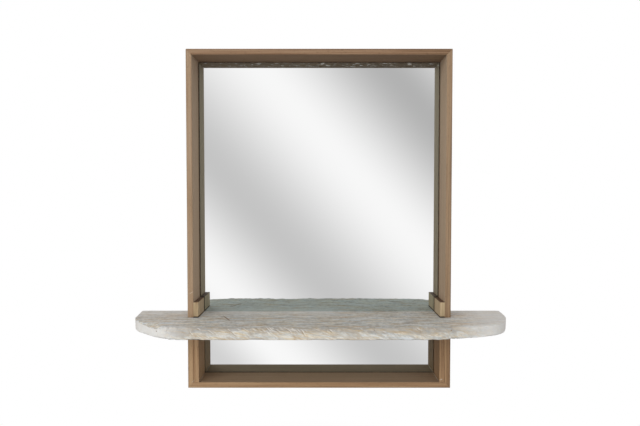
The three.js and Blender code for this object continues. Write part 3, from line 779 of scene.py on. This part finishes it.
# The hewn edge: how far in and down each point of its profiles lies when carved, and the shades it takes
def carvedEdge(along, outline, thickness):
    inset, drop, underIn = wornArris(along, outline[:, 0])
    insets, downs, reach = edgeProfiles(inset, drop, underIn, thickness)
    place, x = (np.repeat(values[:, None], reach.shape[1], axis=1) for values in (along, outline[:, 0]))
    first, second = adzeHollows(place, reach, along[-1])
    splinter, shadedGroove = splinterMarks(place, reach, along, outline[:, 0])

    calm = 1 - 0.8 * ease(x, *shelf["calmRight"]) - 0.8 * ease(x, *shelf["calmLeft"])
    fade = ease(reach[:, -1:] - reach, shelf["strip"] - 8, shelf["strip"] + 2)
    fade *= 1 - 0.8 * ease(downs, thickness - 6, thickness - 1)
    fibres = cellNoise(place / 9 + reach / 6, reach / 1.6 - place / 3.4, 21)
    onFace = ease(reach, -0.5, 1.5)
    depth = ((first + onFace * shelf["fibreDepth"] * fibres) * calm
             + shelf["grooveDepth"] * shadedGroove - shelf["splinterRise"] * splinter)
    arris = np.hypot(inset, drop)[:, None]
    most = 0.35 * np.clip(arris - 1.5, 0, None) + 0.4 * np.abs(reach - 0.5 * arris)  # so it can't fold over
    depth = np.clip(depth * fade, 0, most)
    rowIn, rowDown = np.gradient(insets, axis=1), np.gradient(downs, axis=1)
    size = np.hypot(rowIn, rowDown)

    ends = 1 - ease(x, *shelf["topLeft"]) + ease(x, *shelf["topRight"])
    hewn = np.maximum(ease(first * calm, 0.05, 0.3) * (1 - ends), ease(reach - ends * arris, 0.0, 1.6))
    broad, fine = cellNoise(place / 24, reach / 9, 31), cellNoise(place / 8, reach / 5, 32)
    lobes = 10 * (broad - 0.5) + 5 * (fine - 0.5)
    slopeTop, slopeEnd = (drop[:, None] + down for down in shelf["slopeDown"])
    slope = 1 - ease(downs + lobes, slopeTop, slopeEnd)
    shades = {
        "hewn": hewn * (1 - ease(downs, thickness - 0.4, thickness - 0.05)),
        "slope": slope * (ease(x, *shelf["slopeFrom"]) * (1 - ease(x, *shelf["slopeTo"]))),
        "ridge": np.exp(-((first - second) / 0.16) ** 2) * (first > 0.1),
        "splinter": splinter,
        "shadedGroove": shadedGroove,
    }
    return insets + depth * (rowDown / size), downs + depth * (-rowIn / size), shades


# The board's back edge, round the two slots and the tongue between them
def slottedBack(back):
    stileLow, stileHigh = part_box("right_stile")
    play = shelf["slotPlay"]
    slotOuter, slotInner = stileHigh.x / mm + play, stileLow.x / mm - play
    slotFront = stileLow.y / mm - play
    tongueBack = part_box("mirror_pane")[0].y / mm - shelf["tongueGap"]
    return [(-slotOuter, back), (-slotOuter, slotFront), (-slotInner, slotFront), (-slotInner, tongueBack),
            (slotInner, tongueBack), (slotInner, slotFront), (slotOuter, slotFront), (slotOuter, back)]


# Closes the hewn edge with the top, the underside, the back and the two ends
def closedShell(positions, backLine, top, thickness):
    count, rows = positions.shape[:2]
    vertices = [tuple(point) for point in positions.reshape(-1, 3) * mm]
    faces = [(c * rows + r, (c + 1) * rows + r, (c + 1) * rows + r + 1, c * rows + r + 1)
             for c in range(count - 1) for r in range(rows - 1)]
    start, corners = len(vertices), len(backLine)
    for height in (top, top - thickness):
        vertices += [(px * mm, py * mm, height * mm) for px, py in backLine]
    topRing = [c * rows for c in range(count)] + [start + index for index in range(corners)]
    underRing = [c * rows + rows - 1 for c in range(count)]
    underRing += [start + corners + index for index in range(corners)]
    endCaps = [[column * rows + row for row in range(rows)] for column in (0, count - 1)]
    for ring, axes in ((topRing, (0, 1)), (underRing, (0, 1)), (endCaps[0], (0, 2)), (endCaps[1], (0, 2))):
        flat = [Vector((*[vertices[index][axis] for axis in axes], 0)) for index in ring]
        faces += [tuple(ring[corner] for corner in triangle) for triangle in tessellate_polygon([flat])]
    for index in range(count - 1, len(topRing)):
        following = (index + 1) % len(topRing)
        faces.append((topRing[index], topRing[following], underRing[following], underRing[index]))
    return vertices, faces


def buildShelf():
    low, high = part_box("shelf")
    top, thickness = high.z / mm, (high.z - low.z) / mm
    along, outline = hewnOutline(low, high)
    totalIn, totalDown, shades = carvedEdge(along, outline, thickness)
    positions = np.empty((*totalIn.shape, 3))
    positions[..., :2] = outline[:, None, :] + inwardTurns(along, outline)[:, None, :] * totalIn[..., None]
    positions[..., 2] = top - totalDown
    backLine = slottedBack(high.y / mm)
    vertices, faces = closedShell(positions, backLine, top, thickness)

    piece = meshObject("limedShelf", vertices, faces)
    for name, values in shades.items():
        full = np.concatenate([values.reshape(-1), np.zeros(2 * len(backLine))])
        piece.data.attributes.new(name, "FLOAT", "POINT").data.foreach_set("value", full)
    shaped = bmesh.new()
    shaped.from_mesh(piece.data)
    bmesh.ops.dissolve_degenerate(shaped, dist=shelf["weld"] * mm, edges=shaped.edges)
    bmesh.ops.recalc_face_normals(shaped, faces=shaped.faces)
    openEdges = sum(1 for edge in shaped.edges if len(edge.link_faces) != 2)
    shaped.to_mesh(piece.data)
    shaped.free()
    piece.data.shade_smooth()
    piece.data.set_sharp_from_angle(angle=math.radians(shelf["hardAngle"]))
    print("shelf hewn:", len(faces), "faces, open edges", openEdges)
    return piece


finish = {
    "topGrey": "#C5C5BE", "topTan": "#BFAD93", "topPale": "#DDDCD7", "topDark": "#938A7D",
    "cream": "#C8C4B9", "chalk": "#DAD8D1", "wisp": "#C0B3A0", "line": "#AC967C",
    "slope": "#A49D92", "wornEnd": "#E3E2DF", "bare": "#564838", "gap": "#1B1511", "crack": "#74593F",
    "underShadeLine": "#857A72", "splinter": "#ECEAE4", "shadedGroove": "#94826B",
    "warmTint": "#FFF3DE", "coolTint": "#EEF5FF",
    # millimetres along the board and across it, lean, detail, roughness and distortion of each kind of mark
    "marks": {
        "streaks": (110, 17, 0, 4, 0.65, 0.4), "growthLines": (36, 10, 0, 4, 0.7, 0.3),
        "speckle": (8, 12, 0, 3, 0.7, 0), "tints": (75, 7, 0.12, 3, 0.65, 0.8),
        "patches": (38, 9, 0.3, 3, 0.6, 0.9), "wisps": (26, 4.5, 0.45, 3, 0.6, 1.6),
        "fibres": (18, 1.8, 0.85, 1, 0.5, 0), "underShadeMarks": (22, 8, 0, 1, 0.5, 0),
    },
    # from where to where along the board, or across it, each of these comes in
    # painted light: the top is made paler towards the back, mostly left of the middle, where the glass
    # throws light onto it, and at its right end, which the frame above shades less
    "paleBack": (-0.10, -0.02), "paleBackLeft": (0.12, 0.03), "paintedRightLight": (0.35, 0.44),
    "chalkyLeft": (0.06, -0.06), "wornRight": (0.33, 0.43), "wornLeft": (-0.31, -0.40),
    # painted shade: a broken darker line low on the hewn edge, where the undercut is shaded, comes in
    # between these heights
    "underShadeHeight": (2.4 * mm, 1 * mm),  # above the underside
    # the painted shadow line under each cleat: half width, how far in front of the cleat it starts, and
    # length
    "gapHalfWidth": 7.5 * mm, "gapFront": -3.5 * mm, "gapRun": 40 * mm,
    # a drying crack in the top, and two worm holes in the hewn edge: middle, turns and half sizes
    "cracks": [((-0.245, -0.108, -0.2595), (0, 0, -1.175), (46, 3.0, 4)),
               ((-0.262, -0.083, -0.2595), (0, 0, -0.75), (20, 2.0, 4)),
               ((-0.4043, -0.20, -0.2720), (0, 0, 0), (2.6, 40, 1.6)),
               ((0.325, -0.22, -0.2661), (0, 0, 0), (2.2, 30, 1.6))],
}


# Limed, wire-brushed plank: grey-beige streaks along it, and chalky cream where it is hewn
def limedPlank():
    material, tree, spot = newMaterial("limedPlank")
    parts = add(tree, "ShaderNodeSeparateXYZ", {0: spot}).outputs
    carved = {name: add(tree, "ShaderNodeAttribute", attribute_name=name).outputs["Fac"]
              for name in ("hewn", "slope", "ridge", "shadedGroove", "splinter")}
    marks = {}
    for name, (run, width, lean, detail, roughness, distortion) in finish["marks"].items():
        mapped = add(tree, "ShaderNodeMapping", {
            "Vector": spot, "Rotation": (0, lean, 0), "Scale": (run * mm, width * mm, width * mm)},
            vector_type="TEXTURE")
        marks[name] = add(tree, "ShaderNodeTexNoise", {
            "Vector": mapped, "Scale": 1.0, "Detail": detail, "Roughness": roughness,
            "Distortion": distortion})

    # The wood shows warm through the lime in places, and the lime lies greyer between them
    tints = [(marks["tints"], 0.52, 0.64, 1.0, finish["warmTint"]),
             (marks["tints"], 0.52, 0.38, 1.0, finish["coolTint"])]

    # Planed top: streaks of lime and bare wood, with brushed growth lines
    top = add(tree, "ShaderNodeValToRGB", {0: marks["streaks"]}, stops=[
        (0.36, finish["topPale"]), (0.46, finish["topGrey"]), (0.53, finish["topGrey"]),
        (0.62, finish["topTan"])])
    top = layered(tree, top, [
        (marks["growthLines"], 0.52, 0.66, 0.9, finish["topDark"]),
        (marks["growthLines"], 0.47, 0.34, 0.9, finish["topPale"]),
        (marks["speckle"], 0.5, 0.66, 0.4, finish["topDark"]),
        (marks["speckle"], 0.49, 0.34, 0.4, finish["topPale"])])
    top = layered(tree, top, tints, blendType="MULTIPLY")
    # Painted light: paler towards the back, mostly left of the middle, where the glass throws light onto the
    # top
    backLeft, backRight = finish["paleBackLeft"]
    paleBack = add(tree, "ShaderNodeMapRange", {
        "Value": parts["X"], "From Min": backLeft, "From Max": backRight, "To Max": 0.5})

    # Under the cleats the wood stayed bare; the narrow gap at their front ends and the first stretch under
    # them are painted black as shadow
    cleatLow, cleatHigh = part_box("right_cleat")
    fromMiddle = add(tree, "ShaderNodeMath", {0: parts["X"]}, operation="ABSOLUTE")
    inLine = add(tree, "ShaderNodeMath", {
        0: fromMiddle, 1: (cleatLow.x + cleatHigh.x) / 2, 2: finish["gapHalfWidth"]}, operation="COMPARE")
    fromFront = add(tree, "ShaderNodeMath", {0: parts["Y"], 1: cleatLow.y}, operation="SUBTRACT")
    backward = add(tree, "ShaderNodeMapRange", {
        "Value": fromFront, "From Min": finish["gapFront"], "From Max": finish["gapRun"]})
    shade = add(tree, "ShaderNodeValToRGB", {0: backward}, stops=[
        (0.0, finish["gap"]), (0.35, finish["gap"]), (0.6, finish["bare"])])
    behind = add(tree, "ShaderNodeMath", {0: fromFront, 1: finish["gapFront"]}, operation="GREATER_THAN")
    # Painted light: paler towards the back and at the right end. Painted shadow: black at the cleats' front
    # ends
    top = layered(tree, top, [
        (parts["Y"], *finish["paleBack"], paleBack, finish["topPale"]),
        (parts["X"], *finish["paintedRightLight"], 0.65, finish["topPale"]),
        (inLine, 0.0, 1.0, behind, shade)])

    # Hewn edge: chalk caught in the torn fibres, which lean down to the right
    face = add(tree, "ShaderNodeValToRGB", {0: marks["patches"]}, stops=[
        (0.36, finish["chalk"]), (0.5, finish["cream"]), (0.66, finish["wisp"])])
    chalkFrom, chalkTo = finish["chalkyLeft"]
    leaning = add(tree, "ShaderNodeMapRange", {
        "Value": parts["X"], "From Min": chalkFrom, "From Max": chalkTo, "To Max": 0.45})
    face = layered(tree, face, [
        (marks["wisps"], 0.53, 0.66, 0.5, finish["line"]),
        (marks["wisps"], 0.45, 0.36, 0.7, finish["chalk"]),
        (marks["fibres"], 0.56, 0.72, leaning, finish["chalk"]),
        (carved["slope"], 0.0, 1.0, 0.6, finish["slope"]),
        (carved["ridge"], 0.3, 1.0, 0.3, finish["line"])])
    face = layered(tree, face, tints, blendType="MULTIPLY")
    # Painted shade: a broken darker line low on the hewn edge, above the undercut
    underShadeMost = add(tree, "ShaderNodeMapRange", {
        "Value": marks["underShadeMarks"], "From Min": 0.48, "From Max": 0.56, "To Max": 0.9})
    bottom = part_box("shelf")[0].z
    lowStart, lowFull = (bottom + height for height in finish["underShadeHeight"])
    face = layered(tree, face, [
        (parts["X"], *finish["wornRight"], 0.8, finish["wornEnd"]),
        (parts["X"], *finish["wornLeft"], 0.8, finish["wornEnd"]),
        # painted shadow: the darker groove beside each splinter
        (carved["shadedGroove"], 0.15, 0.8, 0.9, finish["shadedGroove"]),
        (carved["splinter"], 0.15, 0.8, 0.9, finish["splinter"]),
        (parts["Z"], lowStart, lowFull, underShadeMost, finish["underShadeLine"])])

    colour = layered(tree, top, [(carved["hewn"], 0.0, 1.0, 1.0, face)])
    colour = dabbed(tree, spot, colour, finish["cracks"], 0.85, finish["crack"])
    height = add(tree, "ShaderNodeMix", {
        0: carved["hewn"], 2: marks["growthLines"], 3: marks["fibres"]}, data_type="FLOAT")
    relief = add(tree, "ShaderNodeBump", {"Height": height, "Strength": 0.5, "Distance": 0.6 * mm})
    surface = add(tree, "ShaderNodeBsdfPrincipled", {
        "Base Color": colour, "Roughness": 0.72, "IOR": 1.45, "Normal": relief})
    add(tree, "ShaderNodeOutputMaterial", {"Surface": surface})
    return material


plank = buildShelf()
plank.data.materials.append(limedPlank())
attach(plank, "shelf")
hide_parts("shelf")
